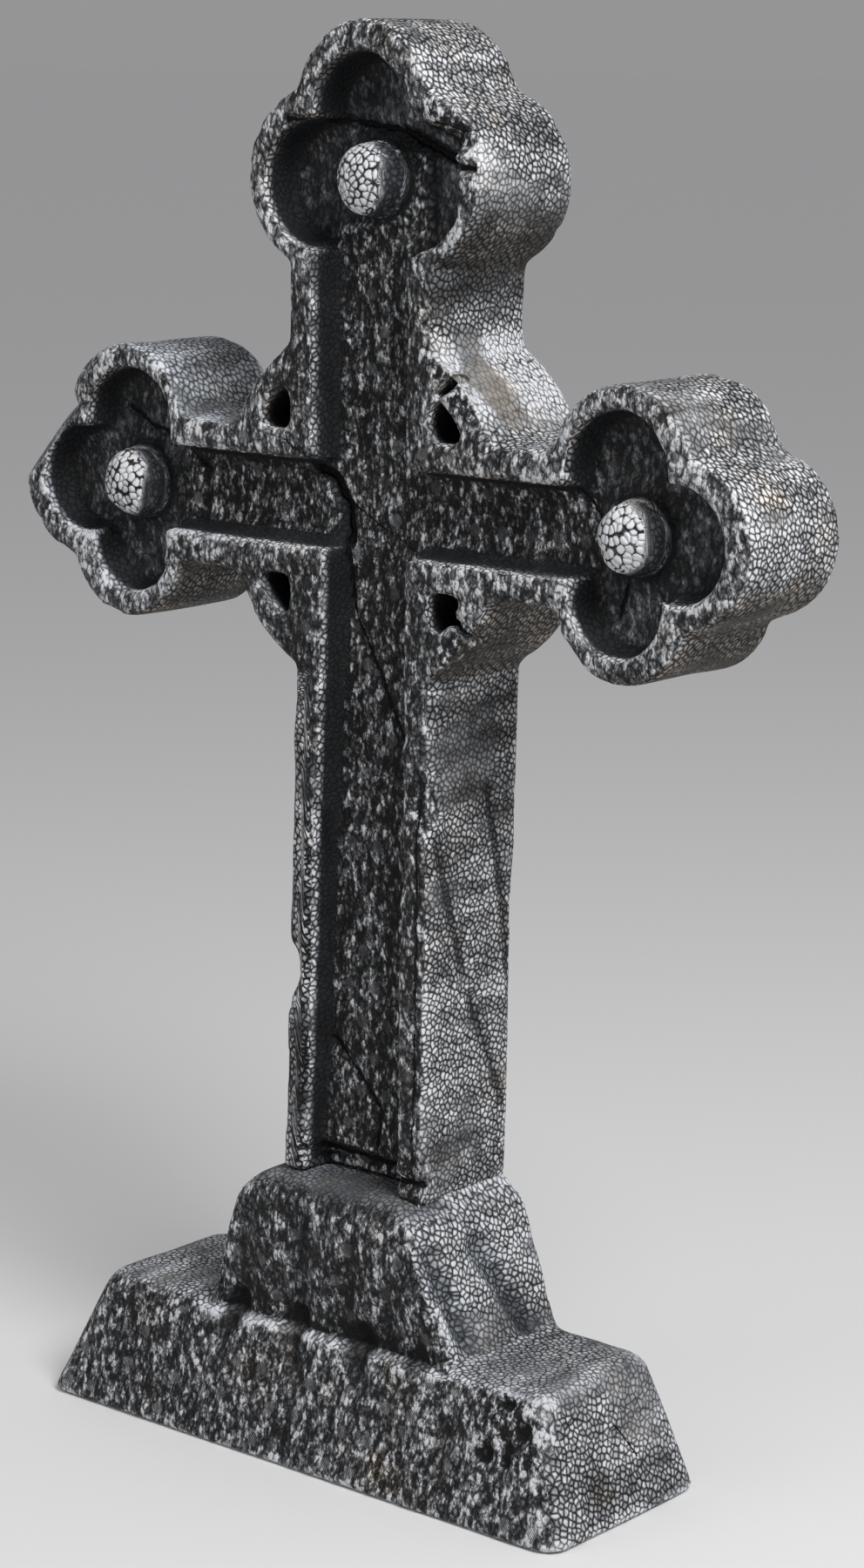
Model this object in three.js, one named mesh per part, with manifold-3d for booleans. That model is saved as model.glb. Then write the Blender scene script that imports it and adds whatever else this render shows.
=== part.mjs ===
import * as THREE from 'three';
import { mergeVertices } from 'three/addons/utils/BufferGeometryUtils.js';
import Module from 'manifold-3d';

const wasm = await Module();
wasm.setup();

// A Celtic cross grave marker in painted foam, standing on a plinth of two battered steps.
// Millimetres, +Z up. The carved front looks along -Y. The origin is on the floor, under the middle.

// Cross in the front view
const ARM_Z = 631;
const ARM_WIDTH = 96;
const ARM_REACH = 205.5;
const HEAD_WIDTH = 118;
const HEAD_REACH = 204.7;
const SHAFT_TOP_WIDTH = 108.5;
const SHAFT_TOP_X = 5.3;
const SHAFT_FOOT_WIDTH = 120;
const SHAFT_FOOT_X = -5.2;
const CROSS_DEPTH = 98;
const CROSS_SETBACK = 13;
const FOOT_THINNING = 6;
const EDGE_ROUND = 6;

// Trefoil ends: two lobes beside the bar's centre line and one at its end
const SIDE_LOBE_OFFSET = 38.7;
const END_LOBE_OFFSET = 43.9;
const HEAD_SIDE_LOBE_RADIUS = 56;
const HEAD_END_LOBE_RADIUS = 53.4;
const ARM_UPPER_LOBE_RADIUS = 53.5;
const ARM_UNDER_LOBE_RADIUS = 50;
const ARM_END_LOBE_RADIUS = 51.5;

// Ring quarters between the arms, each with a blind pocket in its corner
const RING_RADIUS = 117;
const RING_BAND = 21;
const POCKET_DEPTH = 42;
const POCKET_WALL = 1;

// Sunk field inside the raised rim
const RIM_WIDTH = 20.5;
const LOBE_RIM = 16;
const FIELD_LOBE_SHIFT = 4;
const FIELD_DEPTH = 27;
const FIELD_FOOT_DEPTH = 18;
const FIELD_FILLET_DEPTH = 14;
const FIELD_FILLET_WIDTH = 6;
const FOOT_HOLLOW_HEIGHT = 13;
const FOOT_HOLLOW_DEPTH = 7;

// Domed bosses, one in the middle of each trefoil
const BOSS_RADIUS = 22.5;
const BOSS_FOOT_RADIUS = 25;
const BOSS_DOME = 13;
const BOSS_PROUD = 3;
const BOSS_ROOT = 6;

// Plinth
const LOWER_STEP = {
  x: -21.5,
  lean: 5,
  length: 450,
  depth: 159.4,
  height: 91,
  lengthBatter: 35,
  depthBatter: 20,
  corner: 17,
  backCorner: 17,
  foot: 5,
  shoulder: 8,
};
const UPPER_STEP = {
  x: -11.7,
  lean: 0,
  length: 211,
  depth: 125,
  height: 97,
  lengthBatter: 31,
  depthBatter: 5,
  corner: 15,
  backCorner: 7,
  foot: 0,
  shoulder: 22,
};
const UPPER_STEP_SETBACK = 2.5;
const STEP_OVERLAP = 8;
const SEAT_GAP = 0.3;
const SHAFT_SINK = 26;

// Damage: places on the cross are measured from the middle of the ring, those on the shaft from the floor
const CRACK_WIDTH = 4.5;
const CRACK_DEPTH = 6;
const MAIN_CRACK = [[-50, 18], [-41, 14], [-30, -4], [-26, -35], [-21, -72], [4, -116], [27, -160]];
const BRANCH_CRACK = [[-27, 0], [-2, -13], [26, -26]];
const RIM_CRACK = [[-62, 40], [-34, 25]];
const RIM_CRACK_DEPTH = 14;
const LOW_CRACK = [[-33, 279], [-4, 248], [6, 237], [3, 212]];
const RIM_FOOT_CRACK = [[30, 207], [60, 202]];
const NOTCH_Z = 325;
const NOTCH_HEIGHT = 44;
const NOTCH_SINK = 12;
const SPALL_Z = 448;
const SPALL_HEIGHT = 46;
const SPALL_WIDTH = 22;
const SPALL_SINK = 7;
const RING_CRACK_WIDTH = 6;
const RING_CRACK_DEPTH = 22;
const UPPER_RING_CRACK_DEGREES = 49;
const LOWER_RING_CRACK_DEGREES = -39;
const CUSP_CHIP_X = 66;
const CUSP_CHIP_Z = 26;
const CUSP_CHIP_WIDTH = 54;
const CUSP_CHIP_HEIGHT = 20;
const CUSP_CHIP_DEPTH = 16;
const BREAK_KEEP = 60;
const BREAK_START = -4;
const BREAK_END = 72;
const BREAK_DIRECTION_DEGREES = 134;
const BREAK_LEAN_DEGREES = 37;

// Fineness of the round shapes
const LOBE_SEGMENTS = 20;
const RING_SEGMENTS = 28;
const BOSS_SEGMENTS = 20;
const EDGE_SEGMENTS = 2;
const FILLET_SEGMENTS = 2;
const CHIP_DETAIL = 1;
const CORNER_SEGMENTS = 4;
const SHOULDER_LEVELS = 4;
const DOME_LEVELS = 5;

// Worked out from the sizes above, with a cutter's overrun in the air and the merging distance
const FRONT_Y = CROSS_SETBACK - CROSS_DEPTH / 2;
const BACK_Y = CROSS_SETBACK + CROSS_DEPTH / 2;
const HEAD_Z = ARM_Z + HEAD_REACH;
const PLINTH_TOP = LOWER_STEP.height + UPPER_STEP.height;
const FIELD_RISE = (FIELD_DEPTH - FIELD_FOOT_DEPTH) / (ARM_Z - PLINTH_TOP);
const AIR = 30;
const SAME_CORNER = 1e-4;

// A closed three.js mesh becomes a solid once its shared corners are merged
function solid(geometry) {
  geometry.deleteAttribute('normal');
  geometry.deleteAttribute('uv');
  const merged = mergeVertices(geometry, SAME_CORNER);
  const corners = merged.index.array;
  const triangles = [];
  for (let i = 0; i < corners.length; i += 3) {
    const [a, b, c] = [corners[i], corners[i + 1], corners[i + 2]];
    if (a !== b && b !== c && c !== a) {
      triangles.push(a, b, c);
    }
  }
  return new wasm.Manifold(new wasm.Mesh({
    numProp: 3,
    vertProperties: Float32Array.from(merged.attributes.position.array),
    triVerts: Uint32Array.from(triangles),
  }));
}

function join(solids) {
  return solids.reduce((sum, next) => sum.add(next));
}

function named(name, manifold, material) {
  const mesh = manifold.getMesh();
  const geometry = new THREE.BufferGeometry();
  geometry.setAttribute('position', new THREE.BufferAttribute(mesh.vertProperties, 3));
  geometry.setIndex(new THREE.BufferAttribute(mesh.triVerts, 1));
  geometry.computeVertexNormals();
  const piece = new THREE.Mesh(geometry, material);
  piece.name = name;
  return piece;
}

// Shapes are drawn in the front view, with x to the right and z up
function circle(x, z, radius) {
  const shape = new THREE.Shape();
  shape.absarc(x, z, radius, 0, 2 * Math.PI, false);
  return shape;
}

function polygon(points) {
  return new THREE.Shape(points.map(([x, z]) => new THREE.Vector2(x, z)));
}

function rectangle(left, right, bottom, top) {
  return polygon([[left, bottom], [right, bottom], [right, top], [left, top]]);
}

// A front view shape runs from one depth to another, with its edges at both ends rounded
function slab(shape, front, back, segments, round = { depth: 0, width: 0, segments: 1 }) {
  const geometry = new THREE.ExtrudeGeometry(shape, {
    depth: back - front - 2 * round.depth,
    steps: 1,
    curveSegments: segments,
    bevelEnabled: round.depth > 0,
    bevelThickness: round.depth,
    bevelSize: round.width,
    bevelOffset: -round.width,
    bevelSegments: round.segments,
  });
  geometry.rotateX(Math.PI / 2);
  geometry.translate(0, back - round.depth, 0);
  return geometry;
}

// The shaft narrows and leans a little as it rises; its outline and its field share these lines
function shaftMiddle(z) {
  const share = (z - PLINTH_TOP) / (ARM_Z - PLINTH_TOP);
  return SHAFT_FOOT_X + (SHAFT_TOP_X - SHAFT_FOOT_X) * share;
}

function shaftHalf(z) {
  const share = (z - PLINTH_TOP) / (ARM_Z - PLINTH_TOP);
  return (SHAFT_FOOT_WIDTH + (SHAFT_TOP_WIDTH - SHAFT_FOOT_WIDTH) * share) / 2;
}

// Depth of the field's floor behind the rim: even above the arms, shallower towards the foot
function fieldDepth(z) {
  return FIELD_DEPTH - FIELD_RISE * Math.max(0, ARM_Z - z);
}

// The cross outline is a set of overlapping shapes; a rim draws each one in for the sunk field
function shaftShape(rim, bottom) {
  return polygon([
    [shaftMiddle(bottom) - shaftHalf(bottom) + rim, bottom],
    [shaftMiddle(bottom) + shaftHalf(bottom) - rim, bottom],
    [shaftMiddle(ARM_Z) + shaftHalf(ARM_Z) - rim, ARM_Z],
    [shaftMiddle(ARM_Z) - shaftHalf(ARM_Z) + rim, ARM_Z],
  ]);
}

function headShape(rim) {
  const half = HEAD_WIDTH / 2 - rim;
  return rectangle(-half, half, ARM_Z - ARM_WIDTH / 2 + rim, HEAD_Z);
}

function armShape(rim) {
  const half = ARM_WIDTH / 2 - rim;
  return rectangle(-ARM_REACH, ARM_REACH, ARM_Z - half, ARM_Z + half);
}

// Each trefoil has its centre, and the way that points out of the cross there
const ARM_LOBES = [ARM_END_LOBE_RADIUS, ARM_UPPER_LOBE_RADIUS, ARM_UNDER_LOBE_RADIUS];
const HEAD_LOBES = [HEAD_END_LOBE_RADIUS, HEAD_SIDE_LOBE_RADIUS, HEAD_SIDE_LOBE_RADIUS];
const TREFOILS = [
  { x: -ARM_REACH, z: ARM_Z, outX: -1, outZ: 0, radii: ARM_LOBES },
  { x: ARM_REACH, z: ARM_Z, outX: 1, outZ: 0, radii: ARM_LOBES },
  { x: 0, z: HEAD_Z, outX: 0, outZ: 1, radii: HEAD_LOBES },
];

function lobeShapes({ x, z, outX, outZ, radii }, rim, shift) {
  const nearX = x - outX * shift;
  const nearZ = z - outZ * shift;
  const sideX = Math.abs(outZ) * SIDE_LOBE_OFFSET;
  const sideZ = Math.abs(outX) * SIDE_LOBE_OFFSET;
  const [end, first, second] = radii;
  return [
    circle(nearX + outX * END_LOBE_OFFSET, nearZ + outZ * END_LOBE_OFFSET, end - rim),
    circle(nearX + sideX, nearZ + sideZ, first - rim),
    circle(nearX - sideX, nearZ - sideZ, second - rim),
  ];
}

// The shaft is a little thinner at its foot: its back leans in as it goes down
function shaftBlank(round) {
  const geometry = slab(shaftShape(0, PLINTH_TOP - SHAFT_SINK), FRONT_Y, BACK_Y, 1, round);
  const position = geometry.attributes.position;
  for (let i = 0; i < position.count; i += 1) {
    if (position.getY(i) > CROSS_SETBACK) {
      const share = (ARM_Z - position.getZ(i)) / (ARM_Z - PLINTH_TOP);
      position.setY(i, position.getY(i) - FOOT_THINNING * share);
    }
  }
  return solid(geometry);
}

function crossBlank() {
  const round = { depth: EDGE_ROUND, width: EDGE_ROUND, segments: EDGE_SEGMENTS };
  const body = (shape, segments) => solid(slab(shape, FRONT_Y, BACK_Y, segments, round));
  const lobes = TREFOILS.flatMap((trefoil) => lobeShapes(trefoil, 0, 0));
  return join([
    shaftBlank(round),
    body(headShape(0), 1),
    body(armShape(0), 1),
    body(circle(0, ARM_Z, RING_RADIUS), RING_SEGMENTS),
    ...lobes.map((shape) => body(shape, LOBE_SEGMENTS)),
  ]);
}

// The field is cut with a hollow fillet round its floor
function fieldCutter() {
  const round = { depth: FIELD_FILLET_DEPTH, width: FIELD_FILLET_WIDTH, segments: FILLET_SEGMENTS };
  const cutter = (shape, segments) => slab(shape, FRONT_Y - AIR, FRONT_Y + FIELD_DEPTH, segments, round);
  const shaft = cutter(shaftShape(RIM_WIDTH, PLINTH_TOP - AIR), 1);
  const position = shaft.attributes.position;
  for (let i = 0; i < position.count; i += 1) {
    position.setY(i, position.getY(i) - FIELD_RISE * (ARM_Z - position.getZ(i)));
  }
  const lobes = TREFOILS.flatMap((trefoil) => lobeShapes(trefoil, LOBE_RIM, FIELD_LOBE_SHIFT));
  return join([
    solid(shaft),
    solid(cutter(headShape(RIM_WIDTH), 1)),
    solid(cutter(armShape(RIM_WIDTH), 1)),
    ...lobes.map((shape) => solid(cutter(shape, LOBE_SEGMENTS))),
  ]);
}

// Below the field the foam is torn away a little deeper, down to the plinth
function footHollow() {
  const middle = shaftMiddle(PLINTH_TOP);
  const half = shaftHalf(PLINTH_TOP) - RIM_WIDTH;
  const top = PLINTH_TOP + FOOT_HOLLOW_HEIGHT;
  const shape = rectangle(middle - half, middle + half, PLINTH_TOP - AIR, top);
  return solid(slab(shape, FRONT_Y - AIR, FRONT_Y + FIELD_FOOT_DEPTH + FOOT_HOLLOW_DEPTH, 1));
}

// A pocket fills the corner between the shaft, an arm and the inside of the ring
function ringPocket(sideX, sideZ) {
  const inside = RING_RADIUS - RING_BAND;
  const besideShaft = HEAD_WIDTH / 2 + POCKET_WALL;
  const besideArm = ARM_WIDTH / 2 + POCKET_WALL;
  const start = Math.asin(besideArm / inside);
  const end = Math.acos(besideShaft / inside);
  const points = [[sideX * besideShaft, ARM_Z + sideZ * besideArm]];
  for (let i = 0; i <= CORNER_SEGMENTS; i += 1) {
    const angle = start + ((end - start) * i) / CORNER_SEGMENTS;
    points.push([sideX * inside * Math.cos(angle), ARM_Z + sideZ * inside * Math.sin(angle)]);
  }
  return solid(slab(polygon(points), FRONT_Y - AIR, FRONT_Y + POCKET_DEPTH, 1));
}

// A boss has a drafted side and a low dome that stands a little proud of the rim
function boss({ x, z }) {
  const foot = FIELD_DEPTH + BOSS_ROOT;
  const shoulder = foot + BOSS_PROUD - BOSS_DOME;
  const profile = [new THREE.Vector2(0, 0), new THREE.Vector2(BOSS_FOOT_RADIUS, 0)];
  for (let i = 0; i < DOME_LEVELS; i += 1) {
    const angle = ((i / DOME_LEVELS) * Math.PI) / 2;
    profile.push(new THREE.Vector2(BOSS_RADIUS * Math.cos(angle), shoulder + BOSS_DOME * Math.sin(angle)));
  }
  profile.push(new THREE.Vector2(0, shoulder + BOSS_DOME));
  const geometry = new THREE.LatheGeometry(profile, BOSS_SEGMENTS);
  geometry.rotateX(Math.PI);
  geometry.translate(x, FRONT_Y + foot, z);
  return solid(geometry);
}

// A crack is a row of slots from point to point, each with a sharp bottom below the given surface
function crack(points, depthOfSurface, cutDepth) {
  const half = CRACK_WIDTH / 2;
  const section = polygon([[-half, -AIR], [half, -AIR], [half, 0], [0, cutDepth], [-half, 0]]);
  const place = ([x, z]) => new THREE.Vector3(x, FRONT_Y + depthOfSurface(z), z);
  const slots = [];
  for (let i = 0; i + 1 < points.length; i += 1) {
    const from = place(points[i]);
    const along = place(points[i + 1]).sub(from);
    const length = along.length() + half;
    along.normalize();
    const across = new THREE.Vector3(0, 1, 0).cross(along).normalize();
    const inwards = new THREE.Vector3().crossVectors(along, across);
    const geometry = new THREE.ExtrudeGeometry(section, { depth: length, bevelEnabled: false });
    geometry.applyMatrix4(new THREE.Matrix4().makeBasis(across, inwards, along).setPosition(from));
    slots.push(solid(geometry));
  }
  return join(slots);
}

// A chip is a faceted ball, squashed to its own width, depth and height
function chip(x, y, z, width, depth, height) {
  const geometry = new THREE.IcosahedronGeometry(1, CHIP_DETAIL);
  geometry.scale(width, depth, height);
  geometry.translate(x, y, z);
  return solid(geometry);
}

function notch() {
  const radius = (NOTCH_HEIGHT ** 2 / 4 + NOTCH_SINK ** 2) / (2 * NOTCH_SINK);
  const edge = shaftMiddle(NOTCH_Z) - shaftHalf(NOTCH_Z);
  return chip(edge + NOTCH_SINK - radius, FRONT_Y, NOTCH_Z, radius, radius, radius);
}

function spall() {
  const edge = shaftMiddle(SPALL_Z) + shaftHalf(SPALL_Z);
  return chip(edge, FRONT_Y, SPALL_Z, SPALL_WIDTH / 2, SPALL_SINK, SPALL_HEIGHT / 2);
}

function cuspChip() {
  const z = HEAD_Z + CUSP_CHIP_Z;
  return chip(CUSP_CHIP_X, FRONT_Y, z, CUSP_CHIP_WIDTH / 2, CUSP_CHIP_DEPTH, CUSP_CHIP_HEIGHT / 2);
}

// A crack through the ring's band, at an angle up from the right
function ringCrack(degrees) {
  const reach = RING_BAND + AIR;
  const depth = RING_CRACK_DEPTH + AIR;
  const geometry = new THREE.BoxGeometry(reach, depth, RING_CRACK_WIDTH);
  geometry.translate(RING_RADIUS - RING_BAND + reach / 2 - POCKET_WALL, FRONT_Y - AIR + depth / 2, 0);
  geometry.rotateY(-THREE.MathUtils.degToRad(degrees));
  geometry.translate(0, 0, ARM_Z);
  return solid(geometry);
}

// The left trefoil's end lobe has lost the upper part of its rim on a slant
function brokenLobe() {
  const size = ARM_UPPER_LOBE_RADIUS + ARM_END_LOBE_RADIUS;
  const span = BREAK_END - BREAK_START;
  const geometry = new THREE.BoxGeometry(size, 2 * size, span);
  geometry.translate(size / 2, 0, 0);
  geometry.rotateZ(-THREE.MathUtils.degToRad(BREAK_LEAN_DEGREES));
  geometry.translate(BREAK_KEEP, 0, BREAK_START + span / 2);
  geometry.rotateY(-THREE.MathUtils.degToRad(BREAK_DIRECTION_DEGREES));
  geometry.translate(-ARM_REACH, FRONT_Y, ARM_Z);
  return solid(geometry);
}

// A step has rounded corners, draws in evenly as it rises and rounds over at its foot and its top
function step(size, y, bottom, sink) {
  const levels = [];
  for (let i = 0; i < SHOULDER_LEVELS && size.foot > 0; i += 1) {
    const angle = ((i / SHOULDER_LEVELS) * Math.PI) / 2;
    levels.push({ rise: size.foot * (1 - Math.cos(angle)), draw: size.foot * (1 - Math.sin(angle)) });
  }
  levels.push({ rise: size.foot - sink, draw: 0 });
  for (let i = 0; i <= SHOULDER_LEVELS; i += 1) {
    const angle = ((i / SHOULDER_LEVELS) * Math.PI) / 2;
    levels.push({
      rise: size.height - size.shoulder * (1 - Math.sin(angle)),
      draw: size.shoulder * (1 - Math.cos(angle)),
    });
  }
  const halfX = size.length / 2;
  const halfY = size.depth / 2;
  const outline = new THREE.Shape();
  outline.absarc(halfX - size.backCorner, halfY - size.backCorner, size.backCorner, 0, Math.PI / 2);
  outline.absarc(size.backCorner - halfX, halfY - size.backCorner, size.backCorner, Math.PI / 2, Math.PI);
  outline.absarc(size.corner - halfX, size.corner - halfY, size.corner, Math.PI, 1.5 * Math.PI);
  outline.absarc(halfX - size.corner, size.corner - halfY, size.corner, 1.5 * Math.PI, 2 * Math.PI);
  const last = levels.length - 1;
  const geometry = new THREE.ExtrudeGeometry(outline, {
    depth: last,
    steps: last,
    curveSegments: CORNER_SEGMENTS,
    bevelEnabled: false,
  });
  const position = geometry.attributes.position;
  for (let i = 0; i < position.count; i += 1) {
    const { rise, draw } = levels[Math.round(position.getZ(i))];
    const drawX = (size.lengthBatter * rise) / size.height + draw;
    const drawY = (size.depthBatter * rise) / size.height + draw;
    const middle = (size.lean * rise) / size.height;
    position.setX(i, middle + position.getX(i) * (1 - drawX / halfX));
    position.setY(i, position.getY(i) * (1 - drawY / halfY));
    position.setZ(i, rise);
  }
  geometry.translate(size.x, y, bottom);
  return solid(geometry);
}

function plinth(lift) {
  const lower = step(LOWER_STEP, 0, lift, 0);
  const upper = step(UPPER_STEP, UPPER_STEP_SETBACK, LOWER_STEP.height + lift, STEP_OVERLAP);
  return lower.add(upper);
}

function cross() {
  const onRing = (points) => points.map(([x, z]) => [x, ARM_Z + z]);
  const quarters = [[1, 1], [-1, 1], [1, -1], [-1, -1]];
  const cuts = [
    fieldCutter(),
    footHollow(),
    ...quarters.map(([sideX, sideZ]) => ringPocket(sideX, sideZ)),
    crack(onRing(MAIN_CRACK), fieldDepth, CRACK_DEPTH),
    crack(onRing(BRANCH_CRACK), fieldDepth, CRACK_DEPTH),
    crack(onRing(RIM_CRACK), () => 0, RIM_CRACK_DEPTH),
    crack(LOW_CRACK, fieldDepth, CRACK_DEPTH),
    crack(RIM_FOOT_CRACK, () => 0, RIM_CRACK_DEPTH),
    notch(),
    spall(),
    cuspChip(),
    ringCrack(UPPER_RING_CRACK_DEGREES),
    ringCrack(LOWER_RING_CRACK_DEGREES),
    brokenLobe(),
  ];
  const carved = cuts.reduce((body, cut) => body.subtract(cut), crossBlank());
  const whole = join([carved, ...TREFOILS.map(boss)]);
  return whole.subtract(plinth(SEAT_GAP));
}

const foamGrey = new THREE.MeshStandardMaterial({ color: 0x8d9094, roughness: 0.85, metalness: 0 });
const foamDark = new THREE.MeshStandardMaterial({ color: 0x777a7e, roughness: 0.85, metalness: 0 });

const marker = new THREE.Group();
marker.add(named('cross', cross(), foamGrey));
marker.add(named('plinth', plinth(0), foamDark));

export default marker;
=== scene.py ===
"""Looks of a Celtic cross grave marker, a painted foam prop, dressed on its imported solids."""
import math

import bmesh
import bpy
import numpy as np
from mathutils import Matrix, Vector


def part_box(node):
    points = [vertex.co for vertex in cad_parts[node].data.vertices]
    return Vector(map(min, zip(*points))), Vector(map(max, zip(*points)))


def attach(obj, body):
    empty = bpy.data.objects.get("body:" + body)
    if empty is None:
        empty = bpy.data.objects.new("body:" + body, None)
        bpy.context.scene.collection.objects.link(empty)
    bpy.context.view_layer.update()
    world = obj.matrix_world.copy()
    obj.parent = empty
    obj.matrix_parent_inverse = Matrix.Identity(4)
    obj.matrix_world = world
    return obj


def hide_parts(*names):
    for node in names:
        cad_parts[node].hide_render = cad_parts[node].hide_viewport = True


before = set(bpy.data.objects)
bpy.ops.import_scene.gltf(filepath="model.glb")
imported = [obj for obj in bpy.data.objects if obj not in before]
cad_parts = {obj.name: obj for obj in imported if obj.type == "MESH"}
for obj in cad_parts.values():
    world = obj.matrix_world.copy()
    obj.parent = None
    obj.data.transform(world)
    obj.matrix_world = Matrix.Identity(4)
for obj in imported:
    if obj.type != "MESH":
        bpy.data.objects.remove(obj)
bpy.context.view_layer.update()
scene = bpy.context.scene

# The camera stands a little above the arms, in front and to the right, and looks slightly down.
# Its lens is long, so the marker's upright edges stay almost parallel.
CAMERA_AZIMUTH = math.radians(39.91)
CAMERA_ELEVATION = math.radians(11.57)
CAMERA_ROLL = math.radians(0.415)
CAMERA_DISTANCE = 2.3123
CAMERA_TARGET = Vector((0.0338, 0.0, 0.4549))
CAMERA_LENS = 83.226

back = Vector((
    math.sin(CAMERA_AZIMUTH) * math.cos(CAMERA_ELEVATION),
    -math.cos(CAMERA_AZIMUTH) * math.cos(CAMERA_ELEVATION),
    math.sin(CAMERA_ELEVATION),
))
level_right = (-back).cross(Vector((0, 0, 1))).normalized()
level_up = level_right.cross(-back)
right = level_right * math.cos(CAMERA_ROLL) + level_up * math.sin(CAMERA_ROLL)
up = level_up * math.cos(CAMERA_ROLL) - level_right * math.sin(CAMERA_ROLL)
camera_data = bpy.data.cameras.new("camera")
camera_data.lens = CAMERA_LENS
camera_data.clip_end = 300
camera = bpy.data.objects.new("camera", camera_data)
camera.matrix_world = Matrix.Translation(CAMERA_TARGET + back * CAMERA_DISTANCE) @ Matrix(
    (right, up, back)
).transposed().to_4x4()
scene.collection.objects.link(camera)
scene.camera = camera
scene.view_settings.view_transform = "Standard"

# Plain studio: a large soft light high at the right, a weak one at the front left, and a pale room
# that is brighter overhead. The floor is a plain pale sheet.
LIGHTS = {
    "key_light": ((2.1, -0.8, 2.6), 1.5, 92.0),
    "front_light": ((-1.2, -2.8, 1.6), 1.8, 11.0),
}
ROOM_LOW = (0.30, 0.30, 0.305, 1)
ROOM_HIGH = (0.44, 0.44, 0.45, 1)
FLOOR_COLOUR = (0.74, 0.74, 0.74, 1)
FLOOR_CORNERS = [(-90, -90, 0), (90, -90, 0), (90, 90, 0), (-90, 90, 0)]

for light_name, (place, width, power) in LIGHTS.items():
    light_data = bpy.data.lights.new(light_name, "AREA")
    light_data.shape = "DISK"
    light_data.size = width
    light_data.energy = power
    light = bpy.data.objects.new(light_name, light_data)
    light.location = place
    aim = Vector((0.0, 0.0, 0.45)) - Vector(place)
    light.rotation_euler = aim.to_track_quat("-Z", "Y").to_euler()
    scene.collection.objects.link(light)


def wire(tree, kind, inputs=None, **settings):
    """One shader node. A socket's input is a value or the output that feeds it."""
    made = tree.nodes.new("ShaderNode" + kind)
    for name, value in settings.items():
        setattr(made, name, value)
    for socket, value in (inputs or {}).items():
        if isinstance(value, bpy.types.NodeSocket):
            tree.links.new(value, made.inputs[socket])
        else:
            made.inputs[socket].default_value = value
    return made


def tint(tree, share, under, over, mode="MIX"):
    """One colour laid over another by a share."""
    sockets = {0: share, 6: under, 7: over}
    return wire(tree, "Mix", sockets, data_type="RGBA", blend_type=mode).outputs[2]


room = bpy.data.worlds.new("room")
room.use_nodes = True
direction = wire(room.node_tree, "TexCoord").outputs["Generated"]
overhead = wire(room.node_tree, "SeparateXYZ", {0: direction}).outputs["Z"]
overhead = wire(room.node_tree, "Clamp", {0: overhead}).outputs[0]
room_colour = tint(room.node_tree, overhead, ROOM_LOW, ROOM_HIGH)
room.node_tree.links.new(room_colour, room.node_tree.nodes["Background"].inputs["Color"])
scene.world = room

floor_data = bpy.data.meshes.new("floor")
floor_data.from_pydata(FLOOR_CORNERS, [], [(0, 1, 2, 3)])
floor_paint = bpy.data.materials.new("floor_paint")
floor_paint.use_nodes = True
floor_paint.node_tree.nodes["Principled BSDF"].inputs["Base Color"].default_value = FLOOR_COLOUR
floor_paint.node_tree.nodes["Principled BSDF"].inputs["Roughness"].default_value = 0.9
floor_data.materials.append(floor_paint)
floor = bpy.data.objects.new("floor", floor_data)
scene.collection.objects.link(floor)

# The moulded foam skin, shared by both pieces: packed round beads about 4 mm across with dark
# seams between them, half melted on the front, painted charcoal and dry-brushed with pale grey.
BEAD_SIZE = 0.0040
CAP_BEAD_SIZE = 0.0050
# Their places waver by up to half of this
WAVER_SCALE = 160.0
BEAD_WAVER = 0.0020
BEAD_UNEVENNESS = 0.86
# The rows of beads are turned a little from the upright
BEAD_TURN = 0.47
# On the melted front a bead is this share longer upwards
MELT_STRETCH = 0.36
FLECK_SCALE = 225.0
FLECK_STRETCH = 0.50


def calc(tree, operation, first, second=0.0, third=0.0):
    """A number worked out from up to three others."""
    return wire(tree, "Math", {0: first, 1: second, 2: third}, operation=operation).outputs[0]


def times(tree, first, second):
    """The product of two numbers."""
    return calc(tree, "MULTIPLY", first, second)


def plus(tree, first, share, base):
    """One number times a share, added to a base."""
    return calc(tree, "MULTIPLY_ADD", first, share, base)


def fade(tree, value, low, high, start=0.0, end=1.0):
    """Goes smoothly from start to end as the value goes from low to high."""
    sockets = {"Value": value, "From Min": low, "From Max": high, "To Min": start, "To Max": end}
    return wire(tree, "MapRange", sockets, interpolation_type="SMOOTHSTEP").outputs["Result"]


def blend(tree, share, first, second):
    """One number or the other by a share."""
    return wire(tree, "Mix", {0: share, 2: first, 3: second}, data_type="FLOAT").outputs[0]


def less(tree, share, most=1.0):
    """1 where a share is 0, falling to 1 - most where it is 1."""
    return plus(tree, share, -most, 1.0)


def cloud(tree, place, scale, detail=2.0, rough=0.5):
    """Soft noise from 0 to 1 at a scale per metre."""
    sockets = {"Vector": place, "Scale": scale, "Detail": detail, "Roughness": rough}
    return wire(tree, "TexNoise", sockets).outputs["Fac"]


def swing(tree, value, height):
    """A noise value's difference from one half, times a height."""
    return plus(tree, value, height, -0.5 * height)


def stretched(tree, place, along_x, along_y, along_z):
    """A place with each axis multiplied by its own number."""
    sockets = {0: place, 1: (along_x, along_y, along_z)}
    return wire(tree, "VectorMath", sockets, operation="MULTIPLY").outputs[0]


def parted(tree, vector):
    """The X, Y and Z of a vector."""
    return wire(tree, "SeparateXYZ", {0: vector}).outputs


def open_group(name, inputs, outputs):
    """A shader node group with its sockets, and the group's own input and output nodes."""
    tree = bpy.data.node_groups.new(name, "ShaderNodeTree")
    for socket, kind in inputs:
        tree.interface.new_socket(name=socket, in_out="INPUT", socket_type="NodeSocket" + kind)
    for socket in outputs:
        tree.interface.new_socket(name=socket, in_out="OUTPUT", socket_type="NodeSocketFloat")
    given, result = tree.nodes.new("NodeGroupInput"), tree.nodes.new("NodeGroupOutput")
    return tree, given.outputs, result.inputs


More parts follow.
